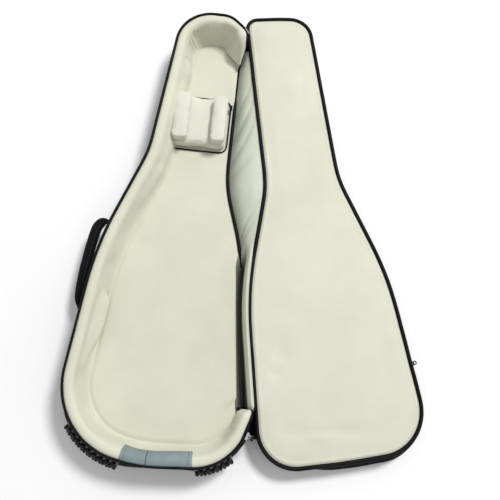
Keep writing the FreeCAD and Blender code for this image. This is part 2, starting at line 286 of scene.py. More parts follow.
def skin_material(name, dark, light, rough, grain, cell=900.0, spec=0.3):
    """Coated or moulded skin: fine cells, broad wear, roughness that varies with both."""
    fin = Finish(name)
    cells = fin.add("TexVoronoi", {"Scale": cell, "Vector": fin.place})
    fin.colour(fin.ramp(fin.noise(35.0, 5.0, 0.6), 0.32, 0.72, dark, light))
    scuffs = fin.noise(160.0, 4.0)
    fin.rough(scuffs, 0.3, rough)
    fin.bumps((cells.outputs["Distance"], grain, 0.0004), (scuffs, 0.15, 0.0005))
    fin.put(fin.shader, {"Specular IOR Level": spec})
    return fin.mat


def metal_material(name, tint, rough):
    """Plated metal, smudged by handling and very finely pitted."""
    fin = Finish(name)
    smudge = fin.noise(180.0, 4.0)
    fin.colour(fin.ramp(smudge, 0.3, 0.7, tuple(0.82 * c for c in tint), tint))
    smudged = fin.math("ADD", fin.math("MULTIPLY", smudge, 0.22), rough)
    fin.bumps((fin.noise(1500.0, 2.0), 0.08, 0.0002))
    fin.put(fin.shader, {"Roughness": smudged, "Metallic": 1.0})
    return fin.mat


CREAM = cloth_material("cream_lining", (0.61, 0.61, 0.495), (0.68, 0.68, 0.565), 0.9 * MM, 0.82, 0.25)
CREAM_WALL = cloth_material("cream_wall", (0.61, 0.61, 0.495), (0.69, 0.69, 0.57), 0.9 * MM, 0.8, 0.25)
# Painted shade: the hinge lining darkens towards the floor of its fold, from 40 mm down to 8 mm above
# ground.
GREENISH = cloth_material("hinge_cream", (0.53, 0.57, 0.455), (0.61, 0.65, 0.53), 0.9 * MM, 0.82, 0.25,
                          low=((0.03, 0.03, 0.02), 8 * MM, 40 * MM))
CUSHION = cloth_material("cradle_cream", (0.62, 0.62, 0.52), (0.70, 0.70, 0.60), 0.8 * MM, 0.8, 0.25,
                         coords="Object")
BLACK = cloth_material("outer_weave", (0.003, 0.003, 0.0034), (0.009, 0.009, 0.010), 1.3 * MM, 0.75,
                       0.02, weave=0.8, wear=0.05, spec=0.10)
WEBBING = cloth_material("webbing", (0.004, 0.004, 0.0045), (0.012, 0.012, 0.013), 1.9 * MM, 0.7, 0.03,
                         weave=0.9, coords="Object", spec=0.12)
GRIP = cloth_material("grip_sleeve", (0.003, 0.003, 0.0034), (0.008, 0.008, 0.009), 1.1 * MM, 0.75,
                      0.03, weave=0.6, spec=0.10)
PIPING = skin_material("binding_skin", (0.002, 0.002, 0.002), (0.006, 0.006, 0.0055), 0.5, 0.35, 1100.0,
                       spec=0.12)
RUBBER = skin_material("bumper_rubber", (0.004, 0.004, 0.004), (0.012, 0.012, 0.012), 0.34, 0.2, 700.0,
                       spec=0.3)
PATCH = skin_material("tail_patch_skin", (0.195, 0.250, 0.262), (0.262, 0.325, 0.338), 0.52, 0.4,
                      1000.0)
TAPE = cloth_material("zip_tape_weave", (0.004, 0.004, 0.0045), (0.010, 0.010, 0.011), 0.8 * MM, 0.75,
                      0.03, weave=0.7, spec=0.12)
COIL = skin_material("zip_coil_nylon", (0.012, 0.012, 0.013), (0.030, 0.030, 0.032), 0.35, 0.1, 600.0)
CHROME = metal_material("slider_plating", (0.78, 0.78, 0.79), 0.10)
GUNMETAL = metal_material("pocket_slider_plating", (0.10, 0.10, 0.105), 0.22)
BLACK_STITCH = cloth_material("black_thread", (0.03, 0.03, 0.032), (0.06, 0.06, 0.062), 0.4 * MM, 0.6,
                              0.3, coords="Object")


# ---- mesh helpers
def add_object(name, data):
    obj = bpy.data.objects.new(name, data)
    bpy.context.scene.collection.objects.link(obj)
    return obj


def piece(name, verts, faces, body, material, uvs=None, replaces=()):
    """A smooth mesh on a body, in a material slot; it may stand in for CAD nodes."""
    me = bpy.data.meshes.new(name)
    me.from_pydata([tuple(v) for v in verts], [], faces)
    if uvs is not None:
        layer = me.uv_layers.new(name="UVMap")
        flat = np.zeros(2 * len(me.loops))
        order = np.zeros(len(me.loops), int)
        me.loops.foreach_get("vertex_index", order)
        flat[0::2] = np.asarray(uvs)[order, 0]
        flat[1::2] = np.asarray(uvs)[order, 1]
        layer.data.foreach_set("uv", flat)
    me.polygons.foreach_set("use_smooth", [True] * len(me.polygons))
    me.materials.append(material)
    me.update()
    obj = add_object(name, me)
    if body:
        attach(obj, body)
    if replaces:
        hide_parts(*replaces)
    return obj


def grid_faces(rows, cols, wrap_rows=False, wrap_cols=False, flip=False, start=0):
    faces = []
    for i in range(rows if wrap_rows else rows - 1):
        for j in range(cols if wrap_cols else cols - 1):
            here, onward = start + i * cols, start + ((i + 1) % rows) * cols
            a, b, c, d = here + j, here + (j + 1) % cols, onward + (j + 1) % cols, onward + j
            faces.append((a, d, c, b) if flip else (a, b, c, d))
    return faces


def end_faces(rows, cols, flip=False, start=0):
    """The two faces that close a tube made by grid_faces."""
    first = tuple(range(start, start + cols))
    last = tuple(range(start + (rows - 1) * cols, start + rows * cols))
    return [first, last[::-1]] if flip else [first[::-1], last]


def grid_uvs(grid):
    """Metres along and across a grid of points, for weaves of a true size."""
    along = np.linalg.norm(np.diff(grid, axis=0), axis=2).mean(1)
    across = np.linalg.norm(np.diff(grid, axis=1), axis=2)
    u = np.r_[0, np.cumsum(along)]
    v = np.concatenate([np.zeros((grid.shape[0], 1)), np.cumsum(across, 1)], 1)
    return np.stack([np.repeat(u[:, None], grid.shape[1], 1), v], 2).reshape(-1, 2)


def loft(name, grid, body, material, wrap_rows=False, wrap_cols=False, flip=False, caps=False,
         replaces=()):
    rows, cols = grid.shape[:2]
    faces = grid_faces(rows, cols, wrap_rows, wrap_cols, flip)
    if caps:
        faces += end_faces(rows, cols, flip)
    return piece(name, grid.reshape(-1, 3), faces, body, material, grid_uvs(grid), replaces)


def tube_along(name, path, radius, body, material=PIPING, closed=False, sides=14,
               replaces=()):
    """A round binding along a path of 3-D points; radius may vary along it."""
    path = np.asarray(path)
    if closed:
        along = np.roll(path, -1, 0) - np.roll(path, 1, 0)
    else:
        along = np.gradient(path, axis=0)
    along = unit(along)
    side = unit(np.cross(along, UP))
    over = np.cross(side, along)
    a = np.linspace(0, 2 * math.pi, sides, endpoint=False)
    r = np.broadcast_to(np.asarray(radius, float), (len(path),))[:, None, None]
    ring = np.cos(a)[None, :, None] * side[:, None] + np.sin(a)[None, :, None] * over[:, None]
    grid = path[:, None] + r * ring
    return loft(name, grid, body, material, wrap_rows=closed, wrap_cols=True, caps=not closed,
                replaces=replaces)


STITCH_LENGTH, STITCH_GAP, THREAD = 4.2 * MM, 1.8 * MM, 0.42 * MM


def stitch_row(name, path, normals, body):
    """Separate lockstitches along a path, each a short thread that dips into the cloth at both ends."""
    path, total = resample(np.asarray(path), max(2, int(len(path) * 4)), closed=False)
    count = int(total / (STITCH_LENGTH + STITCH_GAP))
    s = np.linspace(0, total, len(path))
    lift, _ = resample(np.asarray(normals), len(path), closed=False)
    verts, faces = [], []
    steps, sides = 5, 5
    arch = np.cos(np.linspace(-0.5, 0.5, steps) * math.pi)
    for k in range(count):
        at = (k + 0.5) * total / count + np.linspace(-0.5, 0.5, steps) * STITCH_LENGTH
        out = spots(at, s, lift)
        mid = spots(at, s, path) + out * (arch * 1.1 - 0.5)[:, None] * THREAD
        way = unit(mid[-1] - mid[0])
        side = unit(np.cross(way, out[steps // 2]))
        over = np.cross(side, way)
        base = len(verts)
        for i in range(steps):
            thin = THREAD * (0.55 + 0.45 * arch[i])
            for j in range(sides):
                a = 2 * math.pi * j / sides
                verts.append(mid[i] + thin * (math.cos(a) * side + math.sin(a) * over))
        faces += grid_faces(steps, sides, wrap_cols=True, start=base)
        faces += end_faces(steps, sides, start=base)
    return piece(name, verts, faces, body, BLACK_STITCH)


def modify(obj, kind, **settings):
    mod = obj.modifiers.new(kind.lower(), kind)
    for key, value in settings.items():
        setattr(mod, key, value)
    return mod


def apply_modifiers(obj):
    """Replace the object's mesh by its evaluated one, so that nothing live is left on it."""
    bpy.context.view_layer.update()
    graph = bpy.context.evaluated_depsgraph_get()
    done = bpy.data.meshes.new_from_object(obj.evaluated_get(graph))
    obj.modifiers.clear()
    obj.data = done
    done.polygons.foreach_set("use_smooth", [True] * len(done.polygons))


PUFF_FRAMES = 20
PUFF_PRESSURE = 4.0
PUFF_STIFFNESS = 8.0


def puff(obj, voxel, cap):
    """Swell a closed pad with cloth physics, keeping every point within cap of where it started."""
    modify(obj, "REMESH", mode="VOXEL", voxel_size=voxel)
    apply_modifiers(obj)
    start = np.array([v.co for v in obj.data.vertices])
    cloth = modify(obj, "CLOTH")
    cloth.settings.quality = 6
    cloth.settings.mass = 0.15
    cloth.settings.tension_stiffness = PUFF_STIFFNESS
    cloth.settings.compression_stiffness = PUFF_STIFFNESS
    cloth.settings.shear_stiffness = PUFF_STIFFNESS / 2
    cloth.settings.bending_stiffness = 0.3
    cloth.settings.use_pressure = True
    cloth.settings.uniform_pressure_force = PUFF_PRESSURE
    cloth.settings.effector_weights.gravity = 0.0
    cloth.point_cache.frame_start, cloth.point_cache.frame_end = 1, PUFF_FRAMES
    for f in range(1, PUFF_FRAMES + 1):
        bpy.context.scene.frame_set(f)
    apply_modifiers(obj)
    moved = np.array([v.co for v in obj.data.vertices]) - start
    size = np.linalg.norm(moved, axis=1)
    moved *= np.minimum(1.0, cap / np.maximum(size, 1e-9))[:, None]
    obj.data.vertices.foreach_set("co", (start + moved).ravel())
    bpy.context.scene.frame_set(1)
    modify(obj, "SUBSURF", levels=1, render_levels=1)
    apply_modifiers(obj)


# ---- tray: where the padded wall runs
def wall_stations():
    """Outline stations of the padded wall, from its neck end, round by the left, to its tail end."""
    p = TRAY.p
    centre_x = p[:, 0].mean()
    in_gap = (p[:, 0] > centre_x) & (p[:, 1] > OPEN_LOW) & (p[:, 1] < OPEN_HIGH)
    in_gap &= p[:, 0] > -60 * MM
    gap = np.where(in_gap)[0]
    n = len(p)
    inside = set(gap.tolist())
    after = next(i for i in gap if (i + 1) % n not in inside)
    reach = int(WEDGE / (TRAY.length / n))
    return [(after + 1 + k) % n for k in range(-reach, n - len(gap))]


WEDGE = 38 * MM                # how far the padding runs on past the neck end of the opening
TAPER = 52 * MM                # the length over which it thins out to a point there
NOSE = 12 * MM                 # the rounding of the roll's other end, at the tail
NOSE_CORE = 3 * MM             # how far in from the outline the nose closes
CROWN_Z = 66 * MM              # the roll's crown begins here, and sinks towards the nose
STATIONS = wall_stations()
WALL_P = TRAY.p[STATIONS]
WALL_N = TRAY.n[STATIONS]
WALL_S = lengths(WALL_P)
RIM_START = int((WEDGE + 14 * MM) / (WALL_S[-1] / len(WALL_S)))    # where binding and zip begin


def end_fullness():
    """How full the padding is: 0 at the wall's two ends, 1 along most of it."""
    neck_end = smooth_step(WALL_S / TAPER)
    left_over = np.clip(1 - (WALL_S[-1] - WALL_S) / NOSE, 0, 1)
    return neck_end, np.sqrt(1 - left_over ** 2)


def thin_out(z, neck_end):
    """Heights brought down towards a low stump at the wall's neck end."""
    stump = FLOOR_Z + 8 * MM
    return stump + (z - stump) * (0.25 + 0.75 * neck_end)


def flare(xy, z):
    """Both ends of the wall lean out over the hinge; higher points lean further."""
    x, y = xy[:, 0], xy[:, 1]
    tail = smooth_step((y + 0.446) / 0.050) * (x > -0.09) * (y < -0.30)
    head = smooth_step((y - 0.386) / 0.036) * smooth_step((0.476 - y) / 0.030) * (x > -0.05)
    lean = 16 * MM * tail * smooth_step((z - 30 * MM) / (45 * MM))
    lean = lean + 9 * MM * head * smooth_step((z - 20 * MM) / (40 * MM))
    return xy + np.column_stack([lean, 0 * lean])


def wing_at(y):
    """A loose fold of lining down the left side: it starts sharply and dies away to the tail."""
    return smooth_step((-0.138 - y) / 0.032) * (1 - smooth_step((-0.212 - y) / 0.105))


def wall_points(d, z):
    """A line of points along the padded wall, d inwards from the outline and at height z."""
    xy = WALL_P - WALL_N * d
    return at_height(flare(xy, z), z)


ROLL = [                       # the padded wall's section: mm in from the outline, mm above ground
    (0.6, 77.5), (1.4, 81.0), (3.6, 84.0), (8.0, 85.9), (12.5, 86.2), (17.0, 85.2), (20.8, 82.2),
    (23.2, 76.4), (24.8, 69.0), (26.2, 59.0), (27.6, 49.0), (29.2, 39.0), (31.4, 30.0), (34.0, 23.5),
    (37.0, 19.0), (39.5, 16.6),
]


def wall_section():
    """Grid of points over the padded wall, station by station."""
    dense, _ = resample(np.array(ROLL) * MM, 40, closed=False)
    slope = np.gradient(dense, axis=0)
    out = unit(np.column_stack([-slope[:, 1], slope[:, 0]]))
    rows = len(WALL_P)
    neck_end, tail_end = end_fullness()
    left = WALL_P[:, 0] < -60 * MM
    neck = smooth_step((WALL_P[:, 1] - 0.02) / 0.13) * left * smooth_step((0.44 - WALL_P[:, 1]) / 0.08)
    wing = wing_at(WALL_P[:, 1]) * left
    rest = WALL_S[-1] - WALL_S
    low = smooth_step((-0.42 - WALL_P[:, 1]) / 0.06)
    grid = np.zeros((rows, len(dense), 3))
    for j, (d, z) in enumerate(dense):
        lean = float(np.clip((RIM_Z - z) / (RIM_Z - FLOOR_Z), 0, 1))
        base = d + lean * (9 * MM * neck - 3 * MM * low)
        lip = bump_at(lean, 0.62, 0.17)
        base = base + wing * (19 * lip - 3.5 * bump_at(lean, 0.31, 0.08) - 4 * lean ** 3) * MM
        base = base + 8 * MM * neck * bump_at(lean, 0.55, 0.28)
        sample = at_height(WALL_P - WALL_N * base[:, None], z)
        folds = noise_at(sample * (1, 1, 0.45), 0.085, 1.0) * 5.0 * MM
        folds += noise_at(sample * (1, 1, 0.5), 0.030, 2.0) * 1.6 * MM
        on_face = smooth_step((lean - 0.02) / 0.3) * (1 - smooth_step((lean - 0.7) / 0.3))
        gathers = 1.7 * MM * gather_waves(lean) * on_face
        move = folds * on_face * (1 - 0.6 * wing) + gathers + wall_creases(sample, lean)
        move = move + 0.4 * MM * noise_at(sample, 0.02, 3.0) * (1 - lean)
        dd, zz = base + out[j, 0] * move, z + out[j, 1] * move
        dd = dd * (0.10 + 0.90 * neck_end)
        zz = thin_out(zz, neck_end)
        curl = 1 - smooth_step(rest / ((16 + 60 * lean) * MM))
        dd = dd * (1 - 0.62 * curl * float(smooth_step(lean / 0.45)))
        dd = NOSE_CORE + (dd - NOSE_CORE) * tail_end
        if z > CROWN_Z:
            zz = zz - (1 - tail_end) * max(zz.mean() - CROWN_Z, 0.0) * 0.8
        if d < 11 * MM and z > 76 * MM:
            zz = zz - 3.0 * MM * bump_at(rest, 10 * MM, 2.2 * MM)
        xy = WALL_P - WALL_N * dd[:, None]
        grid[:, j, :2] = flare(xy, zz)
        grid[:, j, 2] = zz
    return grid


def gather_waves(lean):
    """Small gathers that run up and down the lining where it goes round the head's left corner."""
    wobble = noise_at(at_height(WALL_P, lean * 0.02), 0.03, 5.0)
    phase = 2 * math.pi * (WALL_S + 6 * MM * lean) / (15 * MM) + 3.0 * wobble
    corner = bump_at(WALL_P[:, 0], -0.138, 0.030) * smooth_step((WALL_P[:, 1] - 0.37) / 0.04)
    return np.sin(phase) * corner


def wall_creases(sample, lean):
    """Pressed-in folds in the wall's lining, where the padding bends round the corners."""
    x, y = sample[:, 0], sample[:, 1]
    cut = np.zeros(len(sample))
    for cx, cy, slant, width, deep in CREASES:
        cut -= deep * bump_at(y, cy + (x - cx) * slant, width) * (np.abs(x - cx) < 60 * MM)
    return cut * smooth_step((lean - 0.06) / 0.25) * (1 - 0.6 * lean)


CREASES = [                    # x, y, slant, half-width, depth: round the head end, then down the left
    (-0.142, 0.440, 0.45, 0.0050, 0.0040), (-0.120, 0.480, 0.80, 0.0050, 0.0040),
    (-0.158, 0.378, 0.30, 0.0080, 0.0030), (-0.165, 0.330, 0.25, 0.0100, 0.0020),
    (-0.305, -0.120, 0.90, 0.0150, 0.0030), (-0.215, 0.110, 0.60, 0.0160, 0.0022),
    (-0.330, -0.330, -0.60, 0.0160, 0.0030),
]


def build_tray_wall():
    grid = wall_section()
    wall = loft("tray_wall_pad", grid, "tray", CREAM_WALL,
                replaces=("tray_wall_lining", "tray_wall_foam"))
    rim = wall_points(0.0, RIM_Z)
    rim = rim[RIM_START:]
    fade = smooth_step(np.arange(len(rim)) / 6)
    rim[:, 2] -= 12 * MM * (1 - fade)
    fade_tail = smooth_step(np.arange(len(rim))[::-1] / 4)
    rim[:, 2] -= 5 * MM * (1 - fade_tail)
    thick = (2.5 + 0.6 * smooth_step((rim[:, 1] + 0.25) / 0.3)) * MM
    thick = thick * (0.25 + 0.75 * fade) * (0.4 + 0.6 * fade_tail)
    tube_along("tray_rim_binding", rim, thick, "tray", replaces=("tray_rim_piping",))
    return grid


WALL_GRID = build_tray_wall()


# ---- tray: outer shell
def side_profile(z0, z1, bulge):
    t = np.linspace(0, 1, 20)
    return np.column_stack([-bulge * np.sin(math.pi * t) ** 0.8, z0 + (z1 - z0) * t])


def ripples(sample, seed):
    """How uneven a side cloth is, with padding behind it."""
    return (noise_at(sample, 0.07, seed) * 1.6 + noise_at(sample, 0.022, seed + 1) * 0.5) * MM


def build_shell(outline, body, name, z0, z1, bulge, replaces, seed, swell=0.0):
    """A woven side band with the slight bulge and ripples of padding behind it."""
    prof = side_profile(z0, z1, bulge)
    t = np.linspace(0, 1, len(prof))
    belly = bump_at(t, 0.36, 0.24) * smooth_step(5 * t)
    grid = np.zeros((outline.count, len(prof), 3))
    for j, (d, z) in enumerate(prof):
        sample = at_height(outline.p, z)
        fade = math.sin(math.pi * (z - z0) / (z1 - z0))
        proud = -d + ripples(sample, seed) * fade + swell * belly[j]
        grid[:, j, :2] = outline.p + outline.n * proud[:, None]
        grid[:, j, 2] = z
    return loft(name, grid, body, BLACK, wrap_rows=True, flip=True, replaces=replaces)


def fill_face(name, outline, inset, z, crown, body, material, up=True, detail=None, replaces=(),
              rings=26, ease=0.030):
    """A cloth panel inside an outline: rings that shrink towards the outline's own middle line."""
    ring = outline.inset(inset)
    low, high = ring[:, 1].min(), ring[:, 1].max()
    foot_y, head_y = low + 0.12, high - 0.075
    ys = np.linspace(foot_y, head_y, 60)
    xs = np.array([(outline.x_at(y, 1) + outline.x_at(y, -1)) / 2 for y in ys])
    xs = soften(xs, 12, closed=False)
    spine_y = np.clip(ring[:, 1], foot_y, head_y)
    spine = np.column_stack([np.interp(spine_y, ys, xs), spine_y])
    share = np.linspace(0, 1, rings)
    share = 1 - share ** 1.35
    grid = np.zeros((rings, len(ring), 3))
    for i, t in enumerate(share):
        grid[i, :, :2] = spine + (ring - spine) * t
    flat = grid[:, :, :2].reshape(-1, 2)
    away = distance_to(flat, ring)
    rise = crown * (1 - np.exp(-away / ease))
    height = z + rise
    if detail is not None:
        height = height + detail(flat, away)
    grid[:, :, 2] = height.reshape(grid.shape[:2])
    verts = grid.reshape(-1, 3)
    faces = grid_faces(rings, len(ring), wrap_cols=True, flip=not up)
    obj = piece(name, verts, faces, body, material, verts[:, :2].copy(), replaces)
    bm = bmesh.new()
    bm.from_mesh(obj.data)
    bmesh.ops.remove_doubles(bm, verts=bm.verts, dist=0.8 * MM)
    bm.to_mesh(obj.data)
    bm.free()
    return obj


def distance_to(points, ring):
    out = np.zeros(len(points))
    for k in range(0, len(points), 2000):
        part = points[k:k + 2000]
        out[k:k + 2000] = np.sqrt(((part[:, None] - ring[None]) ** 2).sum(2).min(1))
    return out


def build_underside(name, outline, body, replaces):
    under = fill_face(name, outline, 1.0 * MM, 3.4 * MM, -3.0 * MM, body, BLACK,
                      up=False, replaces=replaces)


def build_foot_binding(outline, body):
    tube_along(body + "_base_binding", at_height(outline.p, FOOT_Z), 2.8 * MM, body, closed=True,
               replaces=(body + "_base_piping",))


# mm above ground, share of the swelling
BULGE = [(15.0, 0.0), (22.0, 0.75), (32.0, 1.0), (45.0, 0.90), (60.0, 0.60), (70.0, 0.12), (81.0, 0.0)]


def side_bulge(z):
    """The side swells below the rim at the tail's two corners, where the bag carries its weight."""
    left = smooth_step((-0.16 - WALL_P[:, 0]) / 0.05)
    corner = 0.40 + 0.60 * smooth_step(np.abs(WALL_P[:, 0] + 0.165) / 0.09)
    low = smooth_step((-0.375 + 0.035 * left - WALL_P[:, 1]) / 0.06) * corner
    heights, share = np.array(BULGE).T
    return (11 + 4 * left) * MM * low * float(np.interp(z / MM, heights, share))


SIDE_FOOT, SIDE_TOP = 15 * MM, 81 * MM


def build_tray_shell():
    """A low band all the way round, and a swelling one that follows the wall and its neck end down."""
    build_shell(TRAY, "tray", "tray_side_cloth_low", 4.0 * MM, 15.5 * MM, 0.2 * MM, (), 11.0)
    prof = side_profile(SIDE_FOOT, SIDE_TOP, 2.6 * MM)
    grid = np.zeros((len(WALL_P), len(prof), 3))
    share = (thin_out(SIDE_TOP, end_fullness()[0]) - SIDE_FOOT) / (SIDE_TOP - SIDE_FOOT)
    for j, (d, z) in enumerate(prof):
        sample = at_height(WALL_P, z)
        fade = math.sin(math.pi * j / (len(prof) - 1))
        proud = -d * 0.4 - 0.2 * MM + ripples(sample, 12.0) * fade * 0.6 + side_bulge(z)
        height = SIDE_FOOT + (z - SIDE_FOOT) * share
        grid[:, j, :2] = flare(WALL_P + WALL_N * proud[:, None], height)
        grid[:, j, 2] = height
    side = loft("tray_side_cloth", grid, "tray", BLACK, flip=True,
                replaces=("tray_side_gusset",))
    build_underside("tray_underside", TRAY, "tray", ("tray_back_panel", "tray_floor_foam"))
    build_foot_binding(TRAY, "tray")


build_tray_shell()


# ---- tray: floor lining
NARROW_Y = -0.066              # below this the hinge is a pinched roll instead of an open gusset


def floor_detail(flat, away):
    """Soft padding, puffed up just inside the seam where it meets the wall."""
    points = at_height(flat, 0.0)
    soft = noise_at(points, 0.11, 21.0) * 1.5 * MM + noise_at(points, 0.04, 22.0) * 0.6 * MM
    from_wall = distance_to(flat, (WALL_P - WALL_N * 5 * MM)[8:-4])
    puff_up = smooth_step((from_wall - 29 * MM) / (12 * MM))
    edge = smooth_step(away / (10 * MM))
    pinched = smooth_step((NARROW_Y - flat[:, 1]) / 0.05) * (flat[:, 0] > -40 * MM)
    pinched = pinched * smooth_step((flat[:, 1] - OPEN_LOW + 14 * MM) / (16 * MM))
    dip = 9.5 * MM * pinched * (1 - smooth_step((away - 5 * MM) / (6 * MM)))
    return (soft + 2.4 * MM * puff_up) * edge - 1.6 * MM * (1 - puff_up) - dip


floor = fill_face("tray_floor_pad", TRAY, 5.0 * MM, FLOOR_Z, 0.0, "tray", CREAM,
                  detail=floor_detail, replaces=("tray_floor_lining",), rings=70)


# ---- tail patch on the padded wall
def build_tail_patch():
    low, high = lowest_highest("tail_patch")
    inside = (WALL_P[:, 0] > low[0]) & (WALL_P[:, 0] < high[0]) & (WALL_P[:, 1] < low[1] + 60 * MM)
    rows = np.where(inside)[0]
    grid = WALL_GRID[rows[0]:rows[-1] + 1, 2:22].copy()
    flat_dy = np.gradient(grid, axis=1)
    flat_dx = np.gradient(grid, axis=0)
    normal = unit(np.cross(flat_dx, flat_dy))
    if normal[:, 6, 2].mean() < 0:
        normal = -normal
    edge = np.full(grid.shape[:2], 0.25)
    edge[1:-1, 1:-1] = 1.0
    top = grid + normal * (edge * 1.3 * MM + 0.2 * MM)[:, :, None]
    patch = loft("tail_patch_wrap", top, "tray", PATCH, replaces=("tail_patch",))
    lines = {"left": np.s_[2], "right": np.s_[-3], "outer": np.s_[:, 1], "inner": np.s_[:, -2]}
    for side, at in lines.items():
        stitch_row("patch_stitch_" + side, top[at] + normal[at] * 0.4 * MM, normal[at], "tray")
    seam = int(0.38 * len(top))
    tube_along("patch_seam", top[seam, 1:16] + normal[seam, 1:16] * 0.3 * MM, 0.8 * MM, "tray",
               BLACK_STITCH, sides=8)


build_tail_patch()


# ---- fabric hinge
def seam_line():
    """Centre line of the CAD seam piping, from its lower end to its upper end."""
    co = np.array([v.co for v in NODES["hinge_seam_piping"].data.vertices])
    ys = np.linspace(SEAM_LOW[1] + 1 * MM, SEAM_HIGH[1] - 1 * MM, 160)
    near = [co[np.abs(co[:, 1] - y) < 12 * MM] for y in ys]
    xs = np.array([(c[:, 0].min() + c[:, 0].max()) / 2 if len(c) else np.nan for c in near])
    good = ~np.isnan(xs)
    xs = soften(np.interp(ys, ys[good], xs[good]), 20, closed=False)
    return at_height(np.column_stack([xs, ys]), (SEAM_LOW[2] + SEAM_HIGH[2]) / 2)


SEAM = seam_line()
HINGE_COLS = 84


def hinge_grid(sink):
    """Points of the hinge lining, row by row; sink sets the layer behind it back along its normal."""
    if sink:
        ys = np.linspace(OPEN_LOW - 62 * MM, OPEN_HIGH + 22 * MM, 270)
    else:
        ys = np.linspace(OPEN_LOW - 26 * MM, OPEN_HIGH + 8 * MM, 260)
    t = np.linspace(0, 1, HINGE_COLS)
    a = np.linspace(0, 1, 9)
    grid = np.zeros((len(ys), HINGE_COLS, 3))
    for i, y in enumerate(ys):
        seam_x = np.interp(y, SEAM[:, 1], SEAM[:, 0])
        lid_x = LID.x_at(min(y, OPEN_HIGH), -1)
        open_share = float(smooth_step((y - (NARROW_Y - 0.045)) / 0.075))
        wide = lid_x - seam_x
        hump = min(0.16 * wide, 13 * MM)
        wide_x = seam_x + 1 * MM + (wide - 3.5 * MM) * a
        wide_z = 19 * MM + 27 * MM * a ** 1.35 + hump * np.sin(math.pi * a ** 1.25) ** 0.9
        edge = lid_x / MM - 1.5
        narrow = np.array([
            (-19.5, 19.0), (-15.0, 15.0), (-9.5, 12.0), (edge - 13.5, 8.5), (edge - 13.0, 30.0),
            (edge - 12.0, 50.0), (edge - 7.5, 62.5), (edge - 3.5, 60.5), (edge, 48.0)]) * MM
        knots = np.column_stack([wide_x, wide_z]) * open_share + narrow * (1 - open_share)
        beyond = max(OPEN_LOW - y, y - OPEN_HIGH - 10 * MM) / (40 * MM)
        if sink and beyond > 0:
            wall_x = TRAY.x_at(y, 1)
            web = at_height((wall_x + (lid_x - wall_x) * a)[:, None], (46 - 12 * beyond) * MM)
            part = float(smooth_step(beyond * 8))
            knots = knots * (1 - part) + web * part
        fine, _ = resample(smooth_curve(knots, 6), HINGE_COLS, closed=False)
        grid[i, :, 0], grid[i, :, 1], grid[i, :, 2] = fine[:, 0], y, fine[:, 1]
        tuck = smooth_step((OPEN_LOW + 6 * MM - y) / (16 * MM))
        tuck += smooth_step((y - OPEN_HIGH) / (10 * MM))
        grid[i, :, 2] -= 16 * MM * tuck * np.clip(grid[i, :, 2] - FLOOR_Z, 0, 1) / (40 * MM)
        pull = open_share * np.sin(math.pi * t) ** 0.8
        fold = diagonal_folds(fine[:, 0], y, t)
        grid[i, :, 2] += pull * fold
        if sink == 0 and y < OPEN_LOW - 8 * MM:
            grid[i, :, 0] = np.minimum(grid[i, :, 0], -8 * MM)
    points = grid.reshape(-1, 3)
    soft = noise_at(points * (1.6, 0.7, 1.0), 0.06, 31.0).reshape(grid.shape[:2]) * 1.4 * MM
    grid[:, :, 2] += soft * np.sin(math.pi * t)[None]
    across = np.gradient(grid, axis=1)[:, :, [0, 2]]
    across /= np.linalg.norm(across, axis=2)[:, :, None] + 1e-9
    away = sink * (0.15 + 0.85 * np.sin(math.pi * t)[None] ** 0.5)
    grid[:, :, 0] += away * across[:, :, 1]
    grid[:, :, 2] -= away * across[:, :, 0]
    return grid


def smooth_curve(knots, times):
    for _ in range(times):
        dense = np.zeros((2 * len(knots) - 1, knots.shape[1]))
        dense[0::2] = knots
        dense[1::2] = (knots[:-1] + knots[1:]) / 2
        knots = soften(dense, 1, closed=False)
        if len(knots) > 200:
            break
    return knots


def diagonal_folds(x, y, t):
    """Soft drag folds that run slantwise from the lid's edge down to the floor seam."""
    total = np.zeros(len(x))
    for start, slope, width, deep in FOLDS:
        line = start + slope * (1 - t)
        total -= deep * np.exp(-(((y - line) / width) ** 2))
    return total


FOLDS = [                      # y at the lid's edge, slant towards the seam, half-width, depth
    (0.300, -0.105, 0.012, 0.0045), (0.255, -0.120, 0.011, 0.0040), (0.345, -0.085, 0.012, 0.0035),
    (0.185, -0.085, 0.013, 0.0030), (0.050, -0.095, 0.009, 0.0040), (0.020, -0.080, 0.008, 0.0032),
    (0.110, -0.060, 0.016, 0.0016),
]


BEND = [(-0.390, 0.0120), (-0.190, 0.0010), (0.090, 0.0300), (0.420, 0.0080)]    # y, x of the fold line
HINGE_PARTS = ("tail", "waist", "head")


def build_hinge():
    """Lining and outer cloth, in three lengths each: the line they fold along has two corners."""
    for name, sink, material, slot, node in (
            ("hinge_lining", 0.0, GREENISH, "hinge_lining", "hinge_wall_lining"),
            ("hinge_outer", 3.2 * MM, BLACK, "outer_fabric", "hinge_wall_outer")):
        grid = hinge_grid(sink)
        ys = grid[:, 0, 1]
        cuts = [0] + [int(np.argmin(np.abs(ys - y))) for y, _ in BEND[1:-1]] + [len(ys) - 1]
        for k, part in enumerate(HINGE_PARTS):
            rows = grid[cuts[k]:cuts[k + 1] + 1]
            obj = loft(name + "_" + part, rows, None, material, flip=sink > 0, replaces=(node,))
            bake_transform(obj)
    shown = SEAM[(SEAM[:, 1] > NARROW_Y - 30 * MM) & (SEAM[:, 1] < 0.345)]
    s = np.arange(len(shown))
    fade = smooth_step(s / 8) * smooth_step(s[::-1] / 12)
    sunk = np.column_stack([0 * s, 0 * s, 1.2 * MM - 5 * MM * (1 - fade)])
    tube_along("hinge_seam_binding", shown + sunk, (1.6 + 2.3 * fade) * MM, "tray",
               replaces=("hinge_seam_piping",))


build_hinge()


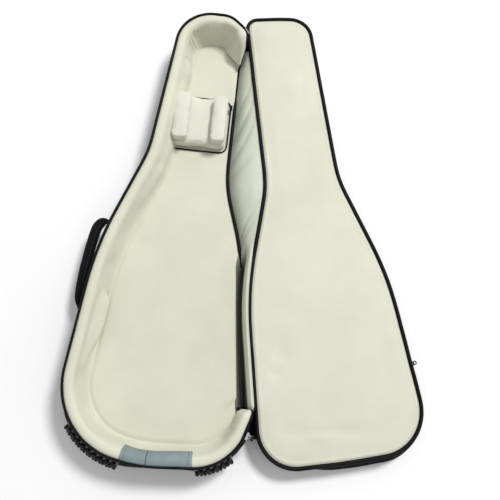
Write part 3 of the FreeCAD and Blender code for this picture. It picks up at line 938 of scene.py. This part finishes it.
# ---- lid
def lid_detail(flat, away):
    points = at_height(flat, 0.0)
    rise = noise_at(points, 0.16, 41.0) * 1.5 * MM + noise_at(points, 0.05, 42.0) * 0.35 * MM
    rise += noise_at(points * (1, 0.35, 1), 0.018, 43.0) * 0.12 * MM
    for x, y, wide, tall, deep in DENTS:
        rise -= deep * np.exp(-((flat[:, 0] - x) / wide) ** 2 - ((flat[:, 1] - y) / tall) ** 2)
    bead = 0.9 * MM * bump_at(away, 7 * MM, 3 * MM) - 0.8 * MM * bump_at(away, 1.5 * MM, 2 * MM)
    return rise * smooth_step(away / 0.025) + bead


DENTS = [                      # x, y, half-width, half-length, depth
    (0.078, -0.292, 0.020, 0.030, 0.0030), (0.062, -0.325, 0.016, 0.012, 0.0028),
    (0.205, -0.440, 0.045, 0.012, 0.0024), (0.150, -0.452, 0.030, 0.008, -0.0012),
    (0.110, -0.440, 0.045, 0.012, 0.0014), (0.140, 0.330, 0.012, 0.060, 0.0010),
    (0.290, -0.250, 0.018, 0.090, 0.0012), (0.060, 0.150, 0.010, 0.070, 0.0010),
    (0.090, -0.230, 0.030, 0.030, -0.0014), (0.170, 0.000, 0.040, 0.080, 0.0012),
]


def build_lid():
    pad = fill_face("lid_face_pad", LID, 3.0 * MM, LID_Z + 0.2 * MM, 3.6 * MM, "lid", CREAM,
                    detail=lid_detail, rings=60, ease=0.016,
                    replaces=("lid_lining", "lid_foam", "lid_front_panel"))
    edge = at_height(LID.inset(0.2 * MM), LID_Z)
    wobble = 0.35 * MM * noise_at(edge, 0.04, 44.0)
    tube_along("lid_edge_binding", edge + at_height(LID.n * wobble[:, None], 0.0), 4.3 * MM, "lid",
               closed=True, sides=18, replaces=("lid_edge_piping",))
    x, y = LID.p[:, 0], LID.p[:, 1]
    swell = 13 * MM * smooth_step((x - 0.09) / 0.09) * smooth_step((-0.385 - y) / 0.055)
    side = build_shell(LID, "lid", "lid_side_cloth", 4.0 * MM, 44.5 * MM, 1.2 * MM, ("lid_gusset",),
                       45.0, swell)
    build_foot_binding(LID, "lid")
    build_underside("pocket_face", LID, "lid", ("pocket_panel", "pocket_padding"))


build_lid()


# ---- neck cradle
CUSHION_GAP = 1.6 * MM         # room for a cushion to swell


def build_cradle():
    for node in ("cradle_base", "cradle_block_left", "cradle_block_right"):
        source = NODES[node]
        me = source.data.copy()
        co = np.array([v.co for v in me.vertices])
        middle = (co.min(0) + co.max(0)) / 2
        size = co.max(0) - co.min(0)
        inner = middle + (co - middle) * (size - 2 * CUSHION_GAP) / size
        me.vertices.foreach_set("co", inner.ravel())
        me.materials.clear()
        me.materials.append(CUSHION)
        me.update()
        obj = add_object(node + "_cushion", me)
        puff(obj, 4.5 * MM, 5 * MM)
        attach(obj, "tray")
        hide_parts(node)
    ring = Outline("cradle_base", 2.4 * MM).p
    tube_along("cradle_binding", at_height(soften(ring, 3), 22.8 * MM), 1.7 * MM, "tray", closed=True,
               replaces=("cradle_piping",))


build_cradle()


# ---- carry handle
def build_handle():
    joint = JOINTS["handle_swing"]
    at = np.array(joint["pos_m"])
    way = unit(np.array(joint["axis"][:3], float))
    off = np.array([-way[1], way[0], 0.0])
    knots = np.array([(0.5, 0.5), (6.0, 2.5), (16.0, 6.5), (30.0, 11.5), (48.0, 15.5), (70.0, 18.5),
                      (108.0, 23.3), (150.0, 25.7), (176.0, 26.5), (192.0, 24.5), (201.0, 17.5),
                      (204.0, 9.5), (203.5, 2.0)])
    knots = knots * MM         # along the line through the anchors, and out from it
    path = smooth_curve(np.array([at + way * along + off * out for along, out in knots]), 5)
    path, _ = resample(path, 120, closed=False)
    s = np.linspace(0, 1, len(path))
    side = unit(np.cross(unit(np.gradient(path, axis=0)), UP))
    full = smooth_step(np.minimum(s / 0.16, (1 - s) / 0.09))
    thick = (2.2 + 8.0 * full) * MM
    tall = (4.5 + 7.7 * smooth_step(np.minimum(s / 0.35, (1 - s) / 0.20))) * MM
    a = np.linspace(0, 2 * math.pi, 28, endpoint=False)
    ca = np.sign(np.cos(a)) * np.abs(np.cos(a)) ** 0.75
    sa = np.sign(np.sin(a)) * np.abs(np.sin(a)) ** 0.75
    grid = path[:, None] + thick[:, None, None] * ca[None, :, None] * side[:, None]
    grid = grid + (tall[:, None] * sa[None])[:, :, None] * UP
    lumps = noise_at(grid.reshape(-1, 3), 0.018, 51.0).reshape(grid.shape[:2]) * 0.7 * MM
    out = unit(grid - path[:, None])
    grid = grid + out * lumps[:, :, None]
    sleeve = loft("handle_sleeve", grid, "handle", GRIP, wrap_cols=True, caps=True,
                  replaces=("handle_grip", "handle_strap"))
    for name, k in (("handle_stitch_high", 5), ("handle_stitch_low", -5)):
        stitch_row(name, grid[14:-14, k], out[14:-14, k], "handle")


build_handle()


# ---- zips
PITCH = 2.2 * MM
TOOTH = [(-0.7, 0.0), (-0.55, 0.9), (0.0, 1.35), (0.55, 0.9), (0.7, 0.0)]    # mm along and out


def teeth(node, line, outward, z, body):
    """A nylon coil: one rounded tooth after another, leaning along it."""
    s = lengths(line)
    count = int(s[-1] / PITCH)
    at = (np.arange(count) + 0.5) * s[-1] / count
    place, out = spots(at, s, line), unit(spots(at, s, outward))
    verts, faces = [], []
    n = len(TOOTH)
    for i in range(count):
        side = np.array([-out[i, 1], out[i, 0]])
        base = len(verts)
        lean = 0.35 * MM
        for level in (-1, 0, 1):
            squeeze = 1.0 if level == 0 else 0.72
            for u, v in TOOTH:
                xy = place[i] + side * (u * squeeze * MM * 0.95 + lean * level)
                xy += out[i] * v * squeeze * MM
                verts.append((xy[0], xy[1], z + level * 1.55 * MM))
        faces += grid_faces(3, n, flip=True, start=base) + end_faces(3, n, flip=True, start=base)
        for p in (base, base + n):
            faces.append((p, p + n - 1, p + 2 * n - 1, p + n))
    return piece(node.replace("coil", "teeth"), verts, faces, body, COIL, replaces=(node,))


def build_zips():
    """Coils on tray, lid and pocket, and the tray's tape, which leans out with the wall at its ends."""
    z = middle_z("tray_zip_coil")
    rows = slice(RIM_START, -3)
    ring = flare(WALL_P + WALL_N * 1.4 * MM, np.full(len(WALL_P), z))
    teeth("tray_zip_coil", ring[rows], WALL_N[rows], z, "tray")
    low, high = lowest_highest("tray_zip_tape")
    strip = np.zeros((len(WALL_P), 6, 3))
    for k, share in enumerate(np.linspace(0, 1, 6)):
        height = low[2] + (high[2] - low[2]) * share
        proud = (0.3 + 0.9 * math.sin(math.pi * share)) * MM
        strip[:, k] = at_height(flare(WALL_P + WALL_N * proud, np.full(len(WALL_P), height)), height)
    loft("tray_zip_strip", strip[rows], "tray", TAPE, flip=True,
         replaces=("tray_zip_tape",))
    x, y = LID.p[:, 0], LID.p[:, 1]
    keep = ~((y > OPEN_LOW) & (y < OPEN_HIGH) & (x < 80 * MM))
    start = int(np.where(keep & ~np.roll(keep, 1))[0][0])
    order = [k for k in np.roll(np.arange(LID.count), -start) if keep[k]]
    low, high = lowest_highest("pocket_zip_coil")
    near = np.where((y > low[1]) & (y < high[1]) & (x > 200 * MM))[0]
    for node, ids in (("lid_zip_coil", order), ("pocket_zip_coil", near)):
        teeth(node, (LID.p + LID.n * 1.0 * MM)[ids], LID.n[ids], middle_z(node), "lid")


build_zips()


# ---- studded bumpers
STRIP = [                      # the bumper's section: mm proud of the side, share of its height
    (0.0, 0.0), (0.6, 0.0), (1.8, 0.02), (2.6, 0.07), (2.8, 0.3), (2.8, 0.5), (2.8, 0.7), (2.4, 0.93),
    (1.6, 0.98), (0.6, 1.0), (0.0, 1.0),
]
STUD = [(4.6, -0.6), (4.5, 1.6), (4.2, 4.0), (3.5, 6.0), (2.3, 7.3), (1.0, 7.9)]    # mm: radius, reach
STUD_PITCH = 12.4 * MM


def build_bumper(node, side):
    """A curved rubber strip with staggered rounded studs, following the swollen side of the bag."""
    low, high = lowest_highest(node)
    z0, z1 = low[2], high[2] + 5 * MM
    reach_up = (16 if side < 0 else 4) * MM
    inside = (WALL_P[:, 1] < high[1] + reach_up) & (WALL_P[:, 1] > low[1] - 20 * MM)
    inside &= (WALL_P[:, 0] > low[0] - 20 * MM) & (WALL_P[:, 0] < high[0] + 20 * MM)
    inside &= (WALL_P[:, 0] < -0.19) if side < 0 else (WALL_P[:, 0] > -0.12)
    rows = np.where(inside)[0][3:-3]
    path, out_n, s = WALL_P[rows], WALL_N[rows], WALL_S[rows] - WALL_S[rows[0]]
    ends = smooth_step(np.minimum(s, s[-1] - s) / (7 * MM))

    def surface(z, proud):
        up = side_bulge(z)[rows]
        return path + out_n * (up + 1.0 * MM + proud)[:, None]
    grid = np.zeros((len(rows), len(STRIP), 3))
    for j, (proud, share) in enumerate(STRIP):
        z = z0 + (z1 - z0) * share
        grid[:, j, :2] = surface(z, proud * MM * ends)
        grid[:, j, 2] = z
    verts = list(grid.reshape(-1, 3))
    faces = grid_faces(len(rows), len(STRIP), flip=True)
    levels = 4
    gap = (z1 - z0 - 5 * MM) / levels
    sides = 12
    angles = [2 * math.pi * q / sides for q in range(sides)]
    for level in range(levels):
        z = z0 + 2.5 * MM + (level + 0.5) * gap
        base = surface(z, 2.4 * MM)
        count = int((s[-1] - 10 * MM) / STUD_PITCH)
        for k in range(count):
            at = 5 * MM + (k + (0.75 if level % 2 else 0.25)) * (s[-1] - 10 * MM) / count
            mid = np.append(spots(at, s, base), z)
            out = unit(np.append(spots(at, s, out_n), 0.12))
            across = unit(np.array([-out[1], out[0], 0.0]))
            above = np.cross(out, across)
            first = len(verts)
            ring = [across * math.cos(a) + above * math.sin(a) for a in angles]
            verts += [mid + out * reach * MM + v * r * MM for r, reach in STUD for v in ring]
            faces += grid_faces(len(STUD), sides, wrap_cols=True, start=first)
            faces += end_faces(len(STUD), sides, start=first)
    piece(node + "_studs", verts, faces, "tray", RUBBER, replaces=(node,))


build_bumper("bumper_left", -1)
build_bumper("bumper_right", 1)


# ---- CAD nodes that keep their shape
KEPT = {
    TAPE: ("lid_zip_tape", "pocket_zip_tape"),
    CHROME: ("zip_slider_bottom", "zip_slider_top", "zip_pull_bottom", "zip_pull_top"),
    GUNMETAL: ("pocket_slider", "pocket_pull"),
    WEBBING: ("handle_anchor_lower", "handle_anchor_upper", "cradle_tab"),
}
for material, names in KEPT.items():
    for node in names:
        NODES[node].data.materials.clear()
        NODES[node].data.materials.append(material)


# ---- stage, light and camera
def build_stage():
    me = bpy.data.meshes.new("floor")
    half = 14.0
    corners = [(-half, -half, 0), (half, -half, 0), (half, half, 0), (-half, half, 0)]
    me.from_pydata(corners, [], [(0, 1, 2, 3)])
    ground = Finish("studio_floor")
    ground.colour(ground.ramp(ground.noise(1.5), 0.3, 0.7, (0.90,) * 3, (0.94,) * 3))
    ground.put(ground.shader, {"Roughness": 0.8})
    me.materials.append(ground.mat)
    obj = add_object("studio_floor", me)
    obj.location.z = -0.4 * MM


def build_studio():
    build_stage()
    world = bpy.data.worlds.new("studio")
    world.use_nodes = True
    world.node_tree.nodes["Background"].inputs[0].default_value = (1.0, 1.0, 1.0, 1)
    world.node_tree.nodes["Background"].inputs[1].default_value = 0.56
    bpy.context.scene.world = world
    bpy.context.scene.view_settings.view_transform = "Standard"
    lamp = bpy.data.lights.new("key", "AREA")
    lamp.shape, lamp.size, lamp.energy = "DISK", 1.3, 225
    key = add_object("key", lamp)
    key.location = (2.1, 2.15, 4.6)
    key.rotation_euler = (-Vector(key.location)).to_track_quat("-Z", "Y").to_euler()
    data = bpy.data.cameras.new("camera")
    data.lens, data.sensor_width = 39.01, 36.0
    camera = add_object("camera", data)
    camera.location = (-0.0474, -0.3423, 1.1827)
    camera.rotation_euler = [math.radians(v) for v in (13.800, -2.857, -0.547)]
    bpy.context.scene.camera = camera


build_studio()
